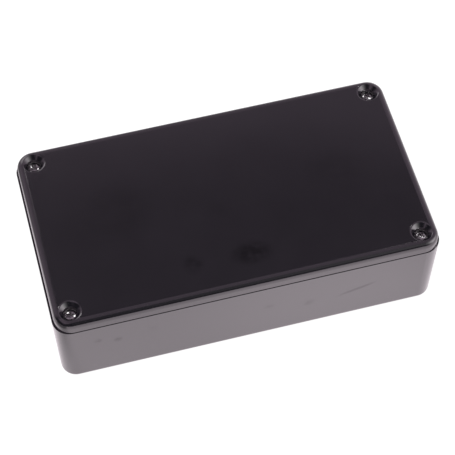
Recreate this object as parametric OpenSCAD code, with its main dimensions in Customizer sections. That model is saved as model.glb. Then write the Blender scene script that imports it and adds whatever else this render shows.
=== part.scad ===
// Small die-cast enclosure: a drafted base, a lid with a tongue, and four recessed lid screws.
// Millimetres. The origin is the centre of the base's underside, X runs along the length and Z is up.

/* [Base] */
// Length over the rim
case_l = 112.9; // [90:0.1:150]
// Width over the rim
case_w = 61.4; // [48:0.1:90]
// Height from the underside to the seam
base_h = 26.3; // [20:0.1:40]
// Radius of the vertical corners at the rim
corner_r = 5.1; // [4.8:0.1:6.4]
// Draft of the outer walls, in degrees
wall_draft = 1.5; // [0.5:0.05:2.5]
// Radius round the bottom edge
foot_r = 1.9; // [0.8:0.1:2.4]
// Radius on the outer edge of the rim, below the seam
rim_r = 0.05; // [0.05:0.05:0.3]

/* [Inside of the base] */
// Thickness of the walls at the rim
wall_t = 2.1; // [1.6:0.1:2.8]
// Thickness of the floor
floor_t = 2.1; // [1.6:0.1:3]
// Draft of the inner walls and the posts, in degrees
room_draft = 1.5; // [0.5:0.05:2]
// Radius of the vertical corners inside, at the rim
room_corner_r = 3; // [2.6:0.1:4]
// Radius where the walls meet the floor
floor_r = 1.2; // [0.5:0.1:1.5]
// Radius of a screw post at the rim
post_r = 4; // [3.4:0.1:4.6]
// Flare at the foot of a post
post_flare = 0.8; // [0.3:0.1:1.2]

/* [Lid] */
// Height from the seam to the top
lid_h = 4.2; // [3.7:0.1:6]
// How far the lid's ends lie inside the rim
end_setback = 0.45; // [0.1:0.05:0.6]
// How far the lid's long sides lie inside the rim
side_setback = 0.15; // [0.1:0.05:0.5]
// Draft of the lid's edge, in degrees
lid_draft = 2; // [0:0.25:4]
// Radius along the top edge
lid_r = 2.2; // [1.4:0.1:2.5]
// Radius along the lower edge, above the seam
lid_seam_r = 0.05; // [0.05:0.05:0.3]
// Thickness of the panel inside the tongue
panel_t = 2.3; // [1.8:0.1:2.9]
// How far the tongue reaches into the base
tongue_h = 2; // [1:0.1:3]
// Thickness of the tongue
tongue_t = 1.4; // [1:0.1:2]
// Gap between the tongue and the walls and posts
tongue_gap = 0.25; // [0.15:0.05:0.5]

/* [Lid screws] */
// Distance of a screw's axis from the rim's ends
screw_end_inset = 5.4; // [4.8:0.1:5.8]
// Distance of a screw's axis from the rim's long sides
screw_side_inset = 5; // [4.8:0.1:5.6]
// Diameter of the thread
thread_d = 2; // [1.8:0.1:2.2]
// Length from the edge of the head to the tip
screw_l = 12; // [8:0.5:14]
// Diameter of the head
head_d = 3.8; // [3.5:0.1:3.8]
// Thickness of the head's upright edge
head_edge = 0.15; // [0.1:0.05:0.2]
// Height of the head's dome over that edge
head_dome = 0.4; // [0.3:0.05:0.5]
// Angle across the head's cone, its seat and the countersink, in degrees
head_angle = 90; // [82:1:96]
// Depth of the dome's top below the lid's top
head_drop = 2; // [1.6:0.1:2.2]
// Length of the cone at the tip
tip_cone = 0.4; // [0.2:0.1:0.6]
// Diameter of the countersink at the lid's top, where its mouth would be if it were sharp
sink_d = 6.4; // [6:0.1:6.8]
// Radius round the mouth of the countersink
sink_edge_r = 0.8; // [0.4:0.1:1]
// Diameter of the bore below the countersink
bore_d = 4; // [3.9:0.1:4.2]
// Gap between the head's cone and its seat
seat_gap = 0.04; // [0.02:0.01:0.1]
// Gap round the thread in the lid's hole
hole_gap = 0.2; // [0.1:0.05:0.3]
// Gap round the thread in the post's hole
thread_gap = 0.05; // [0.03:0.01:0.1]
// Room under the tip in the post's hole
tip_room = 1.5; // [0.5:0.1:3]
// Depth of the cone at the mouth of the post's hole
mouth_cone = 0.4; // [0.2:0.1:0.6]

/* [Cross recess] */
// Width over the wings at the top of the head
cross_d = 2.3; // [2:0.1:2.6]
// Width of a wing
wing_w = 0.6; // [0.45:0.05:0.7]
// Depth below the head's dome
cross_depth = 1.2; // [0.9:0.1:1.3]
// Width over the wings at the bottom
cross_foot_d = 0.7; // [0.6:0.1:0.9]
// Diameter of the round core between the wings, at the top
core_d = 1; // [0.9:0.1:1.3]

/* [Hidden] */
$fn = 96;
casting_black = "#232125";
screw_steel = "#c4c4c6";
// How far a cut runs past the face that it opens
over = 1;
// How far the round edges of the countersinks stand past a true tangent, so that they cut cleanly
edge_proud = 0.005;
// Corners of the case: its screw, its signs of X and Y, and how far the screw's cross stands turned
CORNERS = [
    ["lid_screw_front_left", [-1, -1], -15],
    ["lid_screw_front_right", [1, -1], 43],
    ["lid_screw_back_left", [-1, 1], 45],
    ["lid_screw_back_right", [1, 1], 47],
];

// Whole microns, so that faces that meet have the same coordinates
function micron(v) = round(v * 1000) / 1000;
// How far a drafted wall moves over a height
function lean(height, draft) = micron(height * tan(draft));

case_h = base_h + lid_h;
corner_x = micron(case_l / 2 - corner_r);
corner_y = micron(case_w / 2 - corner_r);
room_x = micron(case_l / 2 - wall_t);
room_y = micron(case_w / 2 - wall_t);
screw_x = micron(case_l / 2 - screw_end_inset);
screw_y = micron(case_w / 2 - screw_side_inset);
// How far a post runs from its screw's axis into the walls
post_reach = max(screw_end_inset, screw_side_inset);

// Screws: the head stands on a cone at the foot of its bore, one gap off it
half_angle = head_angle / 2;
head_r = head_d / 2;
thread_r = thread_d / 2;
hole_r = thread_r + hole_gap;
bore_r = bore_d / 2;
sink_depth = micron((sink_d / 2 - bore_r) / tan(half_angle));
head_cone_h = micron((head_r - thread_r) / tan(half_angle));
head_top = case_h - head_drop;
head_z = head_top - head_dome - head_edge;
seat_top = micron(head_z + (bore_r - head_r) / tan(half_angle) - seat_gap / sin(half_angle));
seat_foot = micron(seat_top - (bore_r - hole_r) / tan(half_angle));
tip_z = head_z - screw_l;
dome_r = micron((head_r * head_r + head_dome * head_dome) / (2 * head_dome));

// A quarter of a disc, in the quadrant that the two signs name
module quarter_disc(r, side_x, side_y) {
    intersection() {
        circle(r);
        translate([side_x < 0 ? -2 * r : 0, side_y < 0 ? -2 * r : 0])
            square(2 * r);
    }
}

// Carries an upright profile round a rectangle of corner centres and fills the middle.
// The profile's X is the distance out of the rectangle and its Y is the height.
module carried(centre_x, centre_y, low, high) {
    for (quarter = [0:3]) {
        turned = quarter % 2 == 1;
        out = turned ? centre_y : centre_x;
        along = turned ? centre_x : centre_y;
        rotate(90 * quarter) {
            translate([out, along, 0])
                rotate_extrude(angle = 90)
                    children();
            translate([out, 0, 0])
                rotate([90, 0, 0])
                    linear_extrude(2 * along, center = true)
                        children();
        }
    }
    translate([-centre_x, -centre_y, low])
        cube([2 * centre_x, 2 * centre_y, high - low]);
}

// Upright profile of the base's outside: round foot, drafted wall and a small round on the rim
module base_profile() {
    foot_out = corner_r - lean(base_h - rim_r - foot_r, wall_draft);
    polygon([
        [0, 0],
        [foot_out - foot_r, 0],
        [foot_out - foot_r, foot_r],
        [foot_out, foot_r],
        [corner_r, base_h - rim_r],
        [corner_r - rim_r, base_h - rim_r],
        [corner_r - rim_r, base_h],
        [0, base_h],
    ]);
    translate([foot_out - foot_r, foot_r])
        quarter_disc(foot_r, 1, -1);
    translate([corner_r - rim_r, base_h - rim_r])
        quarter_disc(rim_r, 1, 1);
}

// Upright profile of the room: a round edge at the floor and a drafted wall that runs out past the rim
module room_profile() {
    foot_out = room_corner_r - lean(base_h - floor_t - floor_r, room_draft);
    polygon([
        [0, floor_t],
        [foot_out - floor_r, floor_t],
        [foot_out - floor_r, floor_t + floor_r],
        [foot_out, floor_t + floor_r],
        [room_corner_r + lean(over, room_draft), base_h + over],
        [0, base_h + over],
    ]);
    translate([foot_out - floor_r, floor_t + floor_r])
        quarter_disc(floor_r, 1, -1);
}

// Upright profile of a post: drafted, with a flared foot
module post_profile() {
    foot_out = post_r + lean(base_h - floor_t, room_draft);
    polygon([
        [0, floor_t - over],
        [foot_out + post_flare, floor_t - over],
        [foot_out + post_flare, floor_t],
        [foot_out - lean(post_flare, room_draft), floor_t + post_flare],
        [post_r - lean(over, room_draft), base_h + over],
        [0, base_h + over],
    ]);
}

// One post on its screw's axis, for the corner at +X +Y: round towards the room, square into the walls
module post() {
    height = base_h - floor_t + 2 * over;
    rotate(180)
        rotate_extrude(angle = 90)
            post_profile();
    for (side = [0, 1])
        mirror([side, -side, 0])
            translate([0, post_reach, 0])
                rotate([90, 0, 0])
                    linear_extrude(post_reach)
                        mirror([1, 0])
                            post_profile();
    translate([0, 0, floor_t - over])
        cube([post_reach, post_reach, height]);
}

// Turns what is drawn for the corner at +X +Y over to each of the four corners
module in_each_corner() {
    for (c = CORNERS)
        in_corner(c[1])
            children();
}

// Turns what is drawn for the corner at +X +Y over to the corner with the given signs
module in_corner(signs) {
    mirror([signs[0] < 0 ? 1 : 0, 0, 0])
        mirror([0, signs[1] < 0 ? 1 : 0, 0])
            children();
}

// Outline of the room at the tongue's end, drawn in by a gap
module room_outline(inset) {
    shrink = lean(tongue_h, room_draft) + inset;
    r = post_r + shrink;
    difference() {
        square([2 * (room_x - shrink), 2 * (room_y - shrink)], center = true);
        in_each_corner()
            translate([screw_x, screw_y]) {
                quarter_disc(r, -1, -1);
                translate([-r, 0])
                    square([r, post_reach]);
                translate([0, -r])
                    square([post_reach, r + post_reach]);
            }
    }
}

module base() {
    hole_depth = base_h - tip_z + tip_room;
    tap_r = thread_r + thread_gap;
    color(casting_black)
        difference() {
            carried(corner_x, corner_y, 0, base_h)
                base_profile();
            difference() {
                carried(room_x - room_corner_r, room_y - room_corner_r, floor_t, base_h + over)
                    room_profile();
                in_each_corner()
                    translate([screw_x, screw_y, 0])
                        post();
            }
            in_each_corner()
                translate([screw_x, screw_y, 0]) {
                    translate([0, 0, base_h - hole_depth])
                        cylinder(h = hole_depth + over, r = tap_r);
                    translate([0, 0, base_h - mouth_cone])
                        cylinder(h = mouth_cone + over, r1 = tap_r, r2 = tap_r + mouth_cone + over);
                }
        }
}

// Upright profile of the lid's outside: a small round at the seam, a drafted edge and a round top edge
module lid_profile() {
    low_out = corner_r - side_setback;
    top_out = low_out - lean(lid_h - lid_r - lid_seam_r, lid_draft);
    polygon([
        [0, 0],
        [low_out - lid_seam_r, 0],
        [low_out - lid_seam_r, lid_seam_r],
        [low_out, lid_seam_r],
        [top_out, lid_h - lid_r],
        [top_out - lid_r, lid_h - lid_r],
        [top_out - lid_r, lid_h],
        [0, lid_h],
    ]);
    translate([low_out - lid_seam_r, lid_seam_r])
        quarter_disc(lid_seam_r, 1, -1);
    translate([top_out - lid_r, lid_h - lid_r])
        quarter_disc(lid_r, 1, 1);
}

// Half section of the cut for a screw: the hole, the seat, the bore, the countersink and its round mouth
module sink_profile() {
    mouth_r = sink_d / 2;
    edge_drop = sink_edge_r - edge_proud;
    edge_run = micron(edge_drop * tan(45 - half_angle / 2));
    difference() {
        polygon([
            [0, base_h - over],
            [hole_r, base_h - over],
            [hole_r, seat_foot],
            [bore_r, seat_top],
            [bore_r, case_h - sink_depth],
            [mouth_r - edge_run * sin(half_angle), case_h - edge_run * cos(half_angle)],
            [mouth_r + edge_run, case_h],
            [mouth_r + edge_run, case_h + over],
            [0, case_h + over],
        ]);
        translate([mouth_r + edge_run, case_h - edge_drop])
            circle(sink_edge_r);
    }
}

module lid() {
    hollow_h = lid_h - panel_t;
    lid_corner_x = corner_x - micron(end_setback - side_setback);
    color(casting_black)
        difference() {
            union() {
                translate([0, 0, base_h])
                    carried(lid_corner_x, corner_y, 0, lid_h)
                        lid_profile();
                translate([0, 0, base_h - tongue_h])
                    linear_extrude(tongue_h + hollow_h)
                        room_outline(tongue_gap);
            }
            translate([0, 0, base_h - tongue_h - over])
                linear_extrude(over + tongue_h + hollow_h)
                    room_outline(tongue_gap + tongue_t);
            in_each_corner()
                translate([screw_x, screw_y, 0])
                    rotate_extrude()
                        sink_profile();
        }
}

// Half section of a screw: domed head, cone, thread and a pointed end
module screw_profile() {
    polygon([
        [0, tip_z],
        [thread_r - tip_cone, tip_z],
        [thread_r, tip_z + tip_cone],
        [thread_r, head_z - head_cone_h],
        [head_r, head_z],
        [head_r, head_z + head_edge],
        [0, head_z + head_edge],
    ]);
    translate([0, head_z + head_edge])
        intersection() {
            translate([0, head_dome - dome_r])
                circle(dome_r);
            square([head_r, 2 * head_dome]);
        }
}

// Cross recess, cut down from the top of the dome: four wings in a cone and a round core
module cross_recess() {
    reach = 1 + over / cross_depth;
    translate([0, 0, head_top - cross_depth]) {
        intersection() {
            cylinder(
                h = cross_depth + over,
                d1 = cross_foot_d,
                d2 = cross_foot_d + (cross_d - cross_foot_d) * reach
            );
            for (turn = [0, 90])
                rotate(turn)
                    translate([-cross_d, -wing_w / 2, 0])
                        cube([2 * cross_d, wing_w, cross_depth + over]);
        }
        cylinder(
            h = cross_depth + over,
            d1 = cross_foot_d,
            d2 = cross_foot_d + (core_d - cross_foot_d) * reach
        );
    }
}

module lid_screw(signs, turn) {
    color(screw_steel)
        translate([signs[0] * screw_x, signs[1] * screw_y, 0])
            rotate(turn)
                difference() {
                    rotate_extrude()
                        screw_profile();
                    cross_recess();
                }
}

base();
lid();
for (c = CORNERS)
    lid_screw(c[1], c[2]);
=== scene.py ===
"""A small black die-cast enclosure: base, lid and four lid screws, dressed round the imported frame."""
import math

import bpy
import numpy as np
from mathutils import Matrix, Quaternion, Vector


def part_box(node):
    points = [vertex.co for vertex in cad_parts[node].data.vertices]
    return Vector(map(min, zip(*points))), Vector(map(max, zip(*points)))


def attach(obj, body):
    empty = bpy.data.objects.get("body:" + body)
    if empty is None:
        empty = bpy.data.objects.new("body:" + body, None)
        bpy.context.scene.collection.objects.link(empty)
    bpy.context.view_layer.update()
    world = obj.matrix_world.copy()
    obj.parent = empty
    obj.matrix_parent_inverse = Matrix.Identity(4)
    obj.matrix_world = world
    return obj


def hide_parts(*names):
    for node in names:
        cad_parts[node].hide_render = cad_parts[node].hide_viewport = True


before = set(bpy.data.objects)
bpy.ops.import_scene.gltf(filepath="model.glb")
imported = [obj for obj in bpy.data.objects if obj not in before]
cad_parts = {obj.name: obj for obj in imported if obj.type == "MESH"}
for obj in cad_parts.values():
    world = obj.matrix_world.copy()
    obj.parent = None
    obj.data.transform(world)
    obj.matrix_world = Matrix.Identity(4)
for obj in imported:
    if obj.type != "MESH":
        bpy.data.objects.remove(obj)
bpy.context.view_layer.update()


# Base
# One aluminium die casting: four drafted walls, a floor and four posts for the lid screws. It is sprayed
# black on the outside only, so the room stays bare metal, with a haze of overspray below the rim.
MM = 0.001


class Signal:
    """A socket of a node tree. Arithmetic adds Math nodes, and node() adds a node of any other kind."""

    def __init__(self, tree, socket):
        self.tree = tree
        self.socket = socket

    def node(self, kind, settings=None, inputs=None, output=0):
        """Adds a node, sets its settings, then gives each named socket its value or its link."""
        made = self.tree.nodes.new(kind)
        for name, value in (settings or {}).items():
            if name == "stops":
                fill_ramp(made.color_ramp, value)
            else:
                setattr(made, name, value)
        feed(made, inputs or {})
        return Signal(self.tree, made.outputs[output])

    def math(self, operation, *others):
        """A Math node on this value and the others."""
        return self.node("ShaderNodeMath", {"operation": operation}, dict(enumerate((self, *others))))

    def __add__(self, other):
        return self.math("ADD", other)

    def __sub__(self, other):
        return self.math("SUBTRACT", other)

    def __rsub__(self, other):
        return self.math("MULTIPLY", -1) + other

    def __mul__(self, other):
        return self.math("MULTIPLY", other)

    def __truediv__(self, other):
        return self.math("DIVIDE", other)

    def __abs__(self):
        return self.math("ABSOLUTE")

    __radd__ = __add__
    __rmul__ = __mul__

    def larger(self, other):
        return self.math("MAXIMUM", other)

    def smaller(self, other):
        return self.math("MINIMUM", other)

    def step(self, start, end):
        """Rises smoothly from 0 at start to 1 at end, or falls if end is below start."""
        inputs = {"Value": self, "From Min": start, "From Max": end}
        return self.node("ShaderNodeMapRange", {"interpolation_type": "SMOOTHSTEP"}, inputs)

    def split(self):
        """The X, Y and Z of a vector."""
        return [self.node("ShaderNodeSeparateXYZ", {}, {"Vector": self}, axis) for axis in range(3)]

    def stretched(self, *factors):
        """The vector with each axis multiplied by its own factor."""
        return self.node("ShaderNodeVectorMath", {"operation": "MULTIPLY"}, {0: self, 1: factors})

    def along(self, direction):
        """How far the vector reaches along a direction."""
        return self.node("ShaderNodeVectorMath", {"operation": "DOT_PRODUCT"}, {0: self, 1: direction}, 1)

    def noise(self, scale, detail=2.0, roughness=0.5):
        """Cloudy values round 0.5, with this many clouds to the unit of the vector."""
        inputs = {"Vector": self, "Scale": scale, "Detail": detail, "Roughness": roughness}
        return self.node("ShaderNodeTexNoise", {}, inputs)

    def between(self, first, second):
        """The first colour where this value is 0 and the second where it is 1."""
        return self.node("ShaderNodeMix", {"data_type": "RGBA"}, {0: self, 6: first, 7: second}, 2)


def fill_ramp(ramp, stops):
    """Gives a colour ramp its stops, each a position and a grey level."""
    while len(ramp.elements) < len(stops):
        ramp.elements.new(1.0)
    for element, (position, level) in zip(ramp.elements, stops):
        element.position = position
        element.color = (level, level, level, 1.0)


def feed(node, inputs):
    """Gives each named socket of a node a value, or a link where the value is a signal."""
    for name, value in inputs.items():
        if isinstance(value, Signal):
            node.id_data.links.new(value.socket, node.inputs[name])
        else:
            node.inputs[name].default_value = value


def new_material(name):
    """A new material, its shader and the piece's own coordinates in millimetres."""
    material = bpy.data.materials.new(name)
    material.use_nodes = True
    tree = material.node_tree
    place = Signal(tree, tree.nodes.new("ShaderNodeTexCoord").outputs["Object"])
    return material, tree.nodes["Principled BSDF"], place.stretched(1 / MM, 1 / MM, 1 / MM)


def dress(node_name, material):
    """Puts a material on every slot of a carried-over node."""
    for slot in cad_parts[node_name].material_slots:
        slot.material = material


# Sizes in millimetres, and the draft as a slope. The spray ends just past the rim, its haze further in
base_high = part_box("base")[1] / MM
rim_z = base_high.z
corner_r = 5.1
wall_draft = math.tan(math.radians(1.5))
floor_mid = 1.0
floor_fade = 0.3
spray_reach = 1.1
spray_fade = 0.5
spray_waver = 0.5
haze_reach = 9.0
# Levels of the haze: what the rim's nearness adds to it, and where it leaves metal bare or covers it
haze_gain = 0.42
haze_bare = 0.66
haze_covered = 0.86


def inside_rim(place):
    """How far a point lies inside the rim's outline, a rectangle with round corners: the radius of a corner
    less the distance from the rectangle of the corners' centres."""
    x, y, _ = place.split()
    past_x = abs(x) - (base_high.x - corner_r)
    past_y = abs(y) - (base_high.y - corner_r)
    outer_x = past_x.larger(0)
    outer_y = past_y.larger(0)
    to_corner = (outer_x * outer_x + outer_y * outer_y).math("SQRT")
    return corner_r - to_corner - past_x.larger(past_y).smaller(0)


def past_spray(place, inward):
    """0 where the spray reached in over the rim and 1 further inward, along a line that wavers."""
    wavering = inward + place.noise(scale=0.6) * spray_waver
    return wavering.step(spray_reach, spray_reach + spray_fade)


lacquer_dark = (0.0084, 0.0083, 0.0107, 1)
lacquer_pale = (0.0105, 0.0104, 0.0133, 1)
lacquer_greasy = (0.0044, 0.0044, 0.0055, 1)
lacquer_shine = (1.0, 0.93, 0.97, 1)
lacquer_ior = 1.62
top_layer_tint = (1.0, 0.98, 0.99, 1)
top_layer_rough = 0.07
metal_dark = (0.42, 0.42, 0.43, 1)
metal_pale = (0.66, 0.66, 0.65, 1)


def sprayed_casting(shader, place, bare, dull):
    """Finish of a sprayed casting: black lacquer with a faint orange peel, or cast metal where it is bare.
    Where the lacquer is dull with grease, its clear top layer is weaker. Heights are in millimetres."""
    cloud = place.noise(scale=0.09, detail=3.0)
    peel = place.noise(scale=0.55)
    flow = place.stretched(0.35, 1.0, 1.0).noise(scale=0.22, detail=4.0, roughness=0.6)
    grain = place.noise(scale=5.0, detail=3.0, roughness=0.65)
    lacquer = dull.between(cloud.between(lacquer_dark, lacquer_pale), lacquer_greasy)
    lacquer_rough = 0.15 + cloud * 0.06
    lacquer_height = peel * 0.0016 + grain * 0.00012
    metal = (flow * 0.7 + grain * 0.3).between(metal_dark, metal_pale)
    metal_rough = 0.34 + grain * 0.2
    metal_height = grain * 0.006 + flow * 0.02
    covered = 1 - bare
    height = lacquer_height * covered + metal_height * bare
    feed(shader, {
        "Base Color": bare.between(lacquer, metal),
        "Metallic": bare,
        "Roughness": lacquer_rough * covered + metal_rough * bare,
        "IOR": lacquer_ior,
        "Specular Tint": lacquer_shine,
        "Coat Weight": covered * (1 - dull),
        "Coat Roughness": top_layer_rough,
        "Coat IOR": lacquer_ior,
        "Coat Tint": top_layer_tint,
        "Normal": place.node("ShaderNodeBump", {}, {"Height": height, "Distance": MM, "Strength": 1.0}),
    })


mark_core = 0.3
mark_depth = 3.0


def mark(place, centre, reach, slope=0.0):
    """A soft mark: 1 in its core and 0 from its reach along each axis, its X axis turned up by a slope."""
    inputs = {"Vector": place, "Location": centre, "Rotation": (0, -slope, 0), "Scale": reach}
    local = place.node("ShaderNodeMapping", {"vector_type": "TEXTURE"}, inputs)
    distance = local.node("ShaderNodeVectorMath", {"operation": "LENGTH"}, {0: local}, 1)
    return distance.step(1.0, mark_core)


def front_wall_y(z):
    """Y of the front wall's outside at a height: below the rim it leans in by the draft."""
    return (rim_z - z) * wall_draft - base_high.y


# Rubs on the front wall: X, Z, reach along X, reach along Z, slope and strength
rub_marks = [
    (5.1, 16.0, 2.2, 1.5, 0.0, 0.18),
    (17.1, 13.0, 2.4, 2.0, 0.0, 0.26),
    (-39.1, 17.2, 1.7, 1.8, 0.0, 0.38),
    (-44.8, 18.9, 1.6, 1.6, 0.0, 0.34),
    (-29.2, 18.9, 2.0, 1.4, 0.0, 0.16),
    (31.5, 14.6, 8.0, 1.0, 0.29, 0.42),
]
base_paint, base_shader, base_place = new_material("base_casting")
base_z = base_place.split()[2]
below_rim = rim_z - base_z
base_inward = inside_rim(base_place) - below_rim * wall_draft
haze_cloud = base_place.noise(scale=1.3, detail=4.0, roughness=0.7)
haze = haze_cloud + below_rim.step(haze_reach, 0) * haze_gain
base_bare = (
    past_spray(base_place, base_inward)
    * base_z.step(floor_mid, floor_mid + floor_fade)
    * haze.step(haze_covered, haze_bare)
)
rubs = sum(
    mark(base_place, (x, front_wall_y(z), z), (reach_x, mark_depth, reach_z), slope) * strength
    for x, z, reach_x, reach_z, slope, strength in rub_marks
)
rub_cloud = base_place.noise(scale=0.8, detail=3.0, roughness=0.6).step(0.3, 0.62)
sprayed_casting(base_shader, base_place, base_bare, rubs * (0.4 + rub_cloud * 0.6))
dress("base", base_paint)


# Lid
# A second casting with a round top edge, sprayed black outside like the base. Its bare tongue fits inside
# the walls and runs round the posts, and four countersinks take the screws.
lid_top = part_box("lid")[1].z / MM
panel_t = 2.3
panel_under = lid_top - panel_t
under_fade = 0.1
# Grease and haze on the top: X, Y, reach along X, reach along Y and strength
smudge_marks = [
    (2.2, -20.3, 7.5, 4.8, 0.75),
    (-14.5, -19.9, 3.8, 4.0, 0.55),
    (-2.9, -3.5, 5.0, 4.0, 0.12),
    (-34.0, 2.0, 18.0, 13.0, 0.26),
    (33.0, 1.0, 14.0, 10.0, 0.2),
]
lid_paint, lid_shader, lid_place = new_material("lid_casting")
lid_under = lid_place.split()[2].step(panel_under + under_fade, panel_under - under_fade)
lid_bare = past_spray(lid_place, inside_rim(lid_place)) * lid_under
smudges = sum(
    mark(lid_place, (x, y, lid_top), (reach_x, reach_y, mark_depth)) * strength
    for x, y, reach_x, reach_y, strength in smudge_marks
)
smudge_cloud = lid_place.noise(scale=0.45, detail=3.0, roughness=0.6).step(0.28, 0.62)
sprayed_casting(lid_shader, lid_place, lid_bare, smudges * (0.35 + smudge_cloud * 0.85))
dress("lid", lid_paint)


# Lid screws
# Four machine screws of plated steel with raised countersunk heads. The heads are upset and the cross
# recess punched cold, the thread is rolled, and they hold the lid down on the posts.
screw_length = 12.0
head_r = 1.9
head_edge = 0.15
head_dome = 0.4
head_cone = 0.9
dome_r = (head_r**2 + head_dome**2) / (2 * head_dome)
edge_round = 0.05
recess_depth = 1.2
wing_half = 0.3
neck_flare = 0.12
neck_top = 0.05
neck_foot = 0.15
blank_r = 0.88
crest_r = 1.0
root_r = 0.77
pitch = 0.4
thread_start = 0.2
run_out = 0.8
tip_cone = 0.4
# Radius of the recess's wing tips and of its core, at its top and at its floor
recess_tip = (1.15, 0.35)
recess_core = (0.5, 0.35)
# Shares of half a pitch that are flat crest and flank, and of the recess's depth that is its lip
crest_share = 0.14
flank_share = 0.62
lip_share = 0.03
# Rows and columns of the grid, passes that find the recess's mouth, and the angle of a sharp edge
arc_columns = 5
side_columns = 7
recess_rows = 16
crown_rows = 9
rows_per_turn = 12
mouth_passes = 8
crease = math.radians(32)
# How far each cross stands turned, in degrees
cross_turns = {
    "lid_screw_front_left": -15.0,
    "lid_screw_front_right": 43.0,
    "lid_screw_back_left": 45.0,
    "lid_screw_back_right": 47.0,
}


def column_angles():
    """Angles of the grid's columns: in each eighth of a turn they meet the corners of the cross recess."""
    tip_corner = math.asin(wing_half / recess_tip[0])
    core_corner = math.asin(wing_half / recess_core[0])
    side = np.arcsin(wing_half / np.linspace(recess_tip[0], recess_core[0], side_columns))[1:-1]
    eighth = np.concatenate([
        np.linspace(0, tip_corner, arc_columns), side, np.linspace(core_corner, math.pi / 4, arc_columns),
    ])
    quarter = np.concatenate([eighth[:-1], (math.pi / 2 - eighth[::-1])[:-1]])
    return (np.arange(4)[:, None] * math.pi / 2 + quarter).ravel()


def recess_radius(angle, depth):
    """Radius of the cross recess at a share of its depth: its wings have straight sides half a wing from the
    axis, they end at a cone, and a round core joins them."""
    tip = recess_tip[0] + (recess_tip[1] - recess_tip[0]) * depth
    core = recess_core[0] + (recess_core[1] - recess_core[0]) * depth
    across = np.minimum(np.abs(np.sin(angle)), np.abs(np.cos(angle)))
    never_zero = 1e-6
    return np.maximum(core, np.minimum(tip, wing_half / np.maximum(across, never_zero)))


def dome_drop(radius):
    """How far the head's dome lies below its top at a radius: the sagitta of a sphere."""
    return dome_r - np.sqrt(dome_r**2 - radius**2)


def thread_radius(angle, height):
    """Radius of the thread: flat crests and roots joined by straight flanks, one pitch up for each turn."""
    phase = np.abs(2 * np.mod(height / pitch - angle / (2 * math.pi), 1) - 1)
    return crest_r - (crest_r - root_r) * np.clip((phase - crest_share) / flank_share, 0, 1)


def screw_grid():
    """Angle, radius and height of a screw's grid, from the floor of its recess over the dome and down to its
    tip. Heights count from the top of the dome, and the mouth of the recess is where it meets the dome."""
    angle = column_angles()[None, :]
    whole = np.ones_like(angle)
    mouth = np.zeros_like(angle)
    for _ in range(mouth_passes):
        mouth = dome_drop(recess_radius(angle, mouth)) / recess_depth
    depth = mouth + (1 - mouth) * np.linspace(1, lip_share, recess_rows)[:, None]
    wall = recess_radius(angle, depth)
    lip = recess_radius(angle, mouth) + edge_round
    crown = lip + (head_r - edge_round - lip) * np.linspace(0, 1, crown_rows)[:, None]
    head_z = -(head_dome + head_edge)
    shank_z = head_z - head_cone
    start_z = shank_z - thread_start
    end_z = head_z - screw_length
    flank_r = np.array([head_r, head_r, blank_r + neck_flare, blank_r])[:, None]
    flank_z = np.array([-head_dome - edge_round, head_z, shank_z + neck_top, shank_z - neck_foot])[:, None]
    thread_rows = int((start_z - end_z) / pitch * rows_per_turn)
    level = np.linspace(start_z, end_z, thread_rows)[:, None]
    cut_share = np.clip((start_z - level) / run_out, 0, 1)
    rolled = blank_r + (thread_radius(angle, level) - blank_r) * cut_share
    pointed = np.minimum(rolled, crest_r - tip_cone + (level - end_z))
    radius = np.vstack([wall, crown, flank_r * whole, pointed])
    height = np.vstack([-recess_depth * depth, -dome_drop(crown), flank_z * whole, level * whole])
    return angle, radius, height


def closed_tube(name, angle, radius, height, centre):
    """A mesh from a grid that runs round an axis: four-sided faces, and a cap at each end."""
    x = centre.x + radius * np.cos(angle)
    y = centre.y + radius * np.sin(angle)
    points = np.stack([x, y, centre.z + height], axis=-1).reshape(-1, 3) * MM
    rows, columns = radius.shape
    index = np.arange(rows * columns).reshape(rows, columns)
    beside = np.roll(index, -1, axis=1)
    quads = np.stack([index[:-1], index[1:], beside[1:], beside[:-1]], axis=-1).reshape(-1, 4)
    mesh = bpy.data.meshes.new(name)
    mesh.from_pydata(points, [], quads.tolist() + [index[0].tolist(), index[-1][::-1].tolist()])
    mesh.polygons.foreach_set("use_smooth", np.ones(len(mesh.polygons), dtype=bool))
    mesh.set_sharp_from_angle(angle=crease)
    piece = bpy.data.objects.new(name, mesh)
    bpy.context.scene.collection.objects.link(piece)
    return piece


steel_dark = (0.44, 0.44, 0.45, 1)
steel_pale = (0.56, 0.55, 0.54, 1)
steel, steel_shader, steel_place = new_material("plated_steel")
steel_cloud = steel_place.noise(scale=0.9, detail=3.0)
steel_grain = steel_place.noise(scale=9.0, detail=3.0, roughness=0.6)
steel_height = steel_grain * 0.003
feed(steel_shader, {
    "Base Color": steel_cloud.between(steel_dark, steel_pale),
    "Metallic": 1.0,
    "Roughness": 0.11 + steel_grain * 0.1,
    "Normal": steel_place.node("ShaderNodeBump", {}, {"Height": steel_height, "Distance": MM}),
})
grid_angle, grid_radius, grid_height = screw_grid()
for node_name, turn in cross_turns.items():
    screw_low, screw_high = (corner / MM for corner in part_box(node_name))
    axis = (screw_low + screw_high) / 2
    # The recess cuts the dome's top away, so its height is counted up from the screw's tip
    head_top = Vector((axis.x, axis.y, screw_low.z + screw_length + head_edge + head_dome))
    turned = grid_angle + math.radians(turn)
    screw = closed_tube(node_name + "_threaded", turned, grid_radius, grid_height, head_top)
    screw.data.materials.append(steel)
    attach(screw, node_name.replace("lid_", ""))
    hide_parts(node_name)


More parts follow.
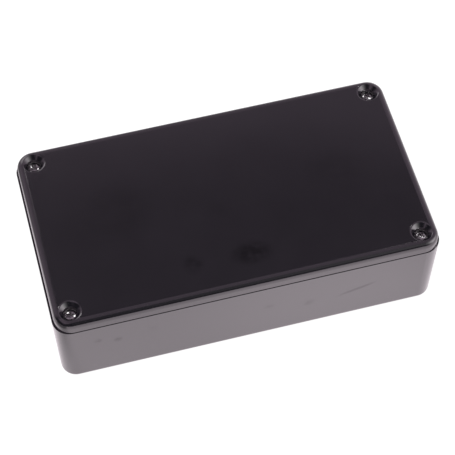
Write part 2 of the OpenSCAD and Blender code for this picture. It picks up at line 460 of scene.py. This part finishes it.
# Floor
# A white sheet that the object stands on, part of the stage. The camera sees it as plain white with a
# faint shadow, and reflections see painted light and shade on it: bright in front of the object and dim
# behind it.
floor_reach = 4.0
floor_z = -0.00005
floor_corners = [(-1, -1), (1, -1), (1, 1), (-1, 1)]
floor_mesh = bpy.data.meshes.new("floor")
floor_mesh.from_pydata(
    [(x * floor_reach, y * floor_reach, floor_z) for x, y in floor_corners], [], [(0, 1, 2, 3)],
)
floor = bpy.data.objects.new("floor", floor_mesh)
bpy.context.scene.collection.objects.link(floor)
floor_white, floor_shader, floor_place = new_material("floor_white")
floor_tree = floor_white.node_tree
floor_tree.nodes.remove(floor_shader)
floor_x, floor_y, _ = floor_place.split()

# Where the painted light and shade that reflections see on the floor change, in millimetres from the
# object's middle
to_front = floor_y.step(20, -40)
far_front = floor_y.step(-45, -75)
near_back = floor_y.step(85, 25)
to_right = floor_x.step(35, 80)
to_left = floor_x.step(0, -70)
left_half = floor_x.step(20, -30)
# A patch at the front left that reflections see painted nearly black, as painted shade
dark_patch_slant = 0.625
painted_dark_patch = (floor_y * dark_patch_slant - floor_x).step(25, 50) * floor_y.step(-12, -55)

# The share of white that they see there: painted light and shade, not the floor's own colour
behind = 0.02 + to_left * near_back * 0.88 + to_right * 0.3
before = 0.9 + far_front * 0.1 - to_right * 0.17 - left_half * 0.12
# Painted reflection: dim behind the object, bright in front, dark in the patch
mirrored = (behind + (before - behind) * to_front) * (1 - painted_dark_patch * 0.93)

black = (0, 0, 0, 1)
mirrored_white = (1.0, 0.91, 0.97, 1)
camera_white = (0.9, 0.9, 0.9, 1)
lit_grey = (0.8, 0.8, 0.8, 1)
shadow_grey = (0.22, 0.22, 0.22, 1)
path = floor_tree.nodes.new("ShaderNodeLightPath")
by_camera, by_gloss, by_glass = (
    Signal(floor_tree, path.outputs[ray])
    for ray in ("Is Camera Ray", "Is Glossy Ray", "Is Transmission Ray")
)
seen = by_camera.larger(by_gloss).larger(by_glass)
glow_colour = by_camera.between(mirrored.between(black, mirrored_white), camera_white)
glow = seen.node("ShaderNodeEmission", {}, {"Color": glow_colour, "Strength": 1.0})
shaded = seen.node("ShaderNodeBsdfDiffuse", {}, {"Color": shadow_grey})
white = seen.node("ShaderNodeAddShader", {}, {0: shaded, 1: glow})
lit = seen.node("ShaderNodeBsdfDiffuse", {}, {"Color": lit_grey})
shown = seen.node("ShaderNodeMixShader", {}, {0: seen, 1: lit, 2: white})
feed(floor_tree.nodes["Material Output"], {"Surface": shown})
floor_mesh.materials.append(floor_white)


# Light
# A dim room: pale walls behind and at the sides, a grey ceiling, a slanting window at the right, two
# small lamps that glint on the screws, and a soft fill from the front that isn't mirrored.
world = bpy.data.worlds.new("studio")
bpy.context.scene.world = world
world.use_nodes = True
sky_tree = world.node_tree
sky = Signal(sky_tree, sky_tree.nodes.new("ShaderNodeTexCoord").outputs["Generated"])
sky_x, sky_y, sky_z = sky.split()


def sky_patch(middle, edge, core):
    """A soft round patch of the sky: the cosine of the angle from its middle stepped from edge to core."""
    return sky.along(middle).step(edge, core)


# Grey of the walls by the height of a direction: their top edge is at about 0.8
wall_stops = [
    (0.0, 0.45), (0.14, 0.41), (0.3, 0.38), (0.47, 0.34), (0.6, 0.31), (0.74, 0.3),
    (0.79, 0.3), (0.802, 0.29), (0.806, 0.2), (0.811, 0.13), (0.821, 0.08), (0.83, 0.058),
    (0.845, 0.068), (0.862, 0.078), (0.9, 0.06),
]
wall_level = sky_z.node("ShaderNodeValToRGB", {"stops": wall_stops}, {"Fac": sky_z})
lit_side = (sky_y + sky_x * 0.6).step(-0.45, 0.1)
far_turn = 0.25
far_side = sky_y + sky_x * far_turn - abs(sky_x - sky_y * far_turn)
far_wall = far_side.step(0.3, 0.85) * sky_z.step(0.75, 0.3)
far_level = wall_level.math("MULTIPLY", 1 - far_wall * 0.4)
dim_left = sky_patch((-0.302, 0.567, 0.766), 0.95, 0.99)
dim_right = sky_patch((0.235, 0.55, 0.801), 0.993, 0.999)
wall = lit_side * far_level * (1 - dim_left * 0.3 - dim_right * 0.28)

# The ceiling is flat, one unit above the object, and directions near the horizon don't meet it
horizon = 0.05
ceiling_x = sky_x / sky_z.larger(horizon)
ceiling_y = sky_y / sky_z.larger(horizon)
ceiling_sides = ceiling_x.step(-1.6, -1.15) * ceiling_x.step(0.8, 0.5)
ceiling_front = (ceiling_y - ceiling_x * 0.35).step(-1.0, -0.6)
ceiling_back = ceiling_y.step(0.30, 0.08)
ceiling_level = 0.24 + ceiling_x.step(-0.1, -0.6) * 0.16
ceiling = ceiling_sides * ceiling_front * ceiling_back * ceiling_level

window_across = sky.along((0.131, 0.640, 0.757))
window_along = sky.along((0.551, 0.588, -0.592)) - 0.08
window_towards = sky.along((0.824, -0.495, 0.276))
window = (
    abs(window_across).step(0.46, 0.05)
    * abs(window_along).step(0.95, 0.05)
    * window_towards.step(0.15, 0.6)
)
pale_left = sky_patch((-0.286, 0.882, 0.375), 0.935, 0.99)
pale_right = sky_patch((0.49, 0.815, 0.309), 0.94, 0.99)

room_tint = (1.06, 0.865, 1.05)
room_level = wall + ceiling + 0.015
room_colour = sky.node("ShaderNodeVectorMath", {"operation": "SCALE"}, {0: room_tint, "Scale": room_level})
white_level = window * 2.0 + pale_left * 0.9 + pale_right * 0.2
sky_colour = sky.node("ShaderNodeVectorMath", {"operation": "ADD"}, {0: room_colour, 1: white_level})
feed(sky_tree.nodes["Background"], {"Color": sky_colour, "Strength": 1.0})


def soft_box(name, place, width, depth, radiance, mirrored):
    """An area lamp that faces the object, with its power worked out from its radiance."""
    lamp = bpy.data.lights.new(name, "AREA")
    lamp.shape = "RECTANGLE"
    lamp.size = width
    lamp.size_y = depth
    lamp.energy = radiance * math.pi * width * depth
    holder = bpy.data.objects.new(name, lamp)
    holder.location = place
    holder.rotation_euler = (-Vector(place)).to_track_quat("-Z", "Y").to_euler()
    holder.visible_glossy = mirrored
    holder.visible_camera = False
    bpy.context.scene.collection.objects.link(holder)


soft_box("fill_box", (-0.6, -0.8, 1.6), width=1.6, depth=1.6, radiance=3.4, mirrored=False)
soft_box("left_lamp", (-0.24, 0.816, 0.846), width=0.24, depth=0.26, radiance=3.9, mirrored=True)
soft_box("right_lamp", (0.515, 0.28, 1.05), width=0.18, depth=0.28, radiance=4.6, mirrored=True)


# Camera
# A long lens that looks down on the lid from the front, a little to the left, at the angle of the
# photograph. Its place and aim are in millimetres and its roll in degrees.
sensor_width = 36.0
lens_length = 132.063
camera_place = Vector((-67.48, -259.379, 429.471))
camera_aim = Vector((0.459, -1.073, 15.5))
camera_roll = -0.0612
camera_data = bpy.data.cameras.new("camera")
camera_data.sensor_width = sensor_width
camera_data.lens = lens_length
camera = bpy.data.objects.new("camera", camera_data)
camera.location = camera_place * MM
level_view = (camera_aim - camera_place).to_track_quat("-Z", "Y")
roll = Quaternion((0, 0, 1), math.radians(camera_roll))
camera.rotation_euler = (level_view @ roll).to_euler()
bpy.context.scene.collection.objects.link(camera)
bpy.context.scene.camera = camera
bpy.context.scene.view_settings.view_transform = "Standard"
